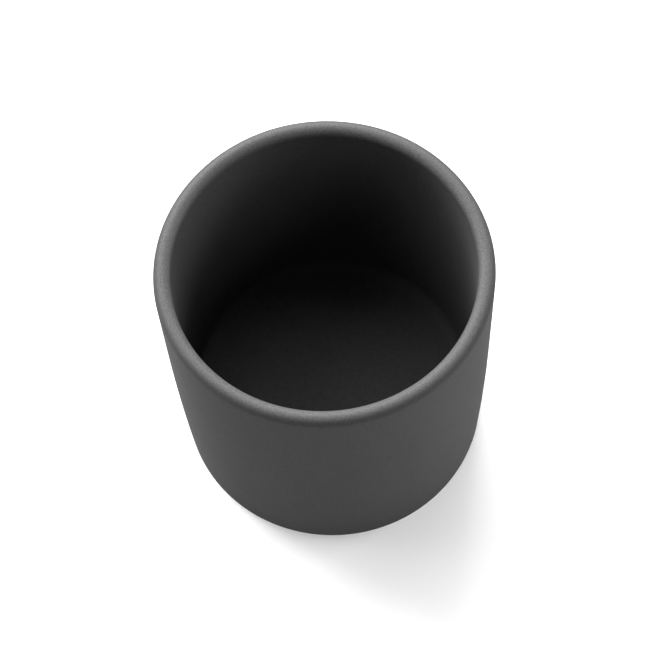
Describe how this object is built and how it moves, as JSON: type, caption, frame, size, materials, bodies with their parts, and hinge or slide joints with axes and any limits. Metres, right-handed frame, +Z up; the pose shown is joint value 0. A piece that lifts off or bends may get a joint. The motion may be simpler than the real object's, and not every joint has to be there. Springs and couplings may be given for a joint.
{
  "type": "candle jar",
  "caption": "Empty, nearly straight-walled ceramic candle jar: open top, fully rounded lip, flat inside floor with a soft cove, bare foot ring round a shallow recess.",
  "frame": {"origin": "centre of the plane that the foot ring stands on", "axes": "+Z up along the jar's axis, out of its mouth; the jar is round, so +X and +Y are any two level directions at right angles"},
  "size_m": [0.088, 0.088, 0.0885],
  "materials": {
    "bare_stoneware": "bare fired stoneware, slightly rough",
    "matte_glaze": "matte charcoal glaze with a very fine grain"
  },
  "bodies": {
    "root": {"jar_body": "bare_stoneware", "matte_glaze": "matte_glaze"}
  },
  "joints": []
}
